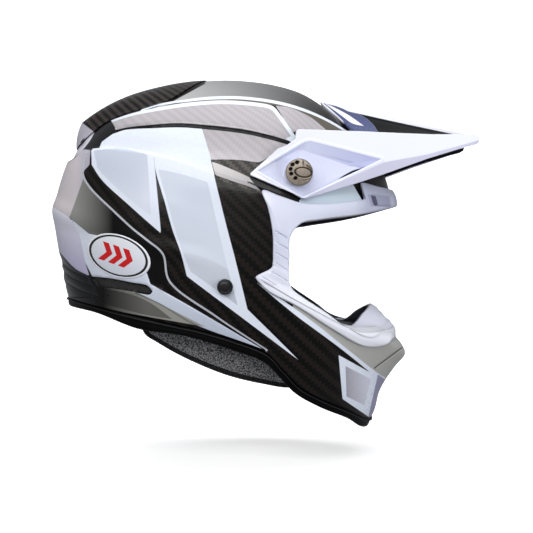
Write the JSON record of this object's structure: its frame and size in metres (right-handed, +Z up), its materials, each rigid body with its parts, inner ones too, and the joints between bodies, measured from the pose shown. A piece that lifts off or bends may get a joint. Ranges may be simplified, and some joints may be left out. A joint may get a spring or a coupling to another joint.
{
  "type": "motocross helmet",
  "caption": "Full-face off-road helmet with a long adjustable peak, a wide eye port, a vented chin bar and a padded liner with chin strap.",
  "frame": {"origin": "head reference point: on the mid-plane, between the ears, where the wearer's head holds the helmet", "axes": "+X forward out of the eye port, +Y to the wearer's left, +Z up to the crown"},
  "size_m": [0.3647, 0.2556, 0.2976],
  "materials": {
    "painted_shell": "fibre-composite shell with a twill weave, painted panels and a gloss clear coat",
    "white_plastic": "injection-moulded gloss white plastic",
    "carbon": "twill carbon fibre under clear coat",
    "black_rubber": "satin black rubber",
    "black_plastic": "fine-textured black plastic",
    "foam": "expanded polystyrene beads, matt",
    "heather_fabric": "heather grey brushed knit over foam",
    "dark_mesh_fabric": "dark spacer-mesh knit over foam",
    "webbing": "woven polyester webbing",
    "titanium": "champagne anodised, machined",
    "steel": "plated steel",
    "wire_mesh": "black woven wire mesh"
  },
  "bodies": {
    "shell": {"outer_shell": "painted_shell", "base_rim_trim": "black_rubber", "eyeport_trim": "white_plastic", "eps_liner": "foam", "comfort_liner": "dark_mesh_fabric", "eps_chin_bar": "foam", "rear_spoiler": "carbon", "rear_exhaust_mesh": "wire_mesh", "mouth_vent_housing": "white_plastic", "mouth_vent_mesh": "wire_mesh", "neck_roll": "heather_fabric", "rear_vent_mesh_left": "wire_mesh", "rear_vent_mesh_right": "wire_mesh", "badge_plate_left": "white_plastic", "badge_plate_right": "white_plastic", "brow_vent_mesh_left": "wire_mesh", "brow_vent_mesh_right": "wire_mesh", "cheek_pad_left": "heather_fabric", "cheek_pad_right": "heather_fabric", "cheek_pad_base_left": "black_plastic", "cheek_pad_base_right": "black_plastic", "cheek_pad_snap_a_left": "black_plastic", "cheek_pad_snap_a_right": "black_plastic", "cheek_pad_snap_b_left": "black_plastic", "cheek_pad_snap_b_right": "black_plastic", "visor_insert_left": "steel", "visor_insert_right": "steel", "strap_rivet_left": "steel", "strap_rivet_right": "steel", "rivet_cover_left": "black_plastic", "rivet_cover_right": "black_plastic"},
    "visor": {"visor": "white_plastic", "visor_washer_left": "black_rubber", "visor_washer_right": "black_rubber"},
    "screw_left": {"visor_screw_left": "titanium"},
    "screw_right": {"visor_screw_right": "titanium"},
    "strap": {"chin_strap_left": "webbing", "chin_strap_right": "webbing", "d_ring_inner": "steel", "d_ring_outer": "steel", "strap_snap": "black_plastic", "strap_washer_left": "steel", "strap_washer_right": "steel"}
  },
  "joints": [
    {"name": "visor_tilt", "type": "hinge", "parent": "shell", "child": "visor", "pos_m": [0.061, 0, 0.0645], "axis": [0, -1, 0], "range_deg": [-6, 2]},
    {"name": "screw_left_turn", "type": "hinge", "parent": "shell", "child": "screw_left", "pos_m": [0.061, 0.12, 0.0645], "axis": [0, 1, 0], "range_deg": [0, 90]},
    {"name": "screw_right_turn", "type": "hinge", "parent": "shell", "child": "screw_right", "pos_m": [0.061, -0.12, 0.0645], "axis": [0, -1, 0], "range_deg": [0, 90]},
    {"name": "strap_swing", "type": "hinge", "parent": "shell", "child": "strap", "pos_m": [0.0025, 0, -0.026], "axis": [0, 1, 0], "range_deg": [-20, 20]}
  ]
}
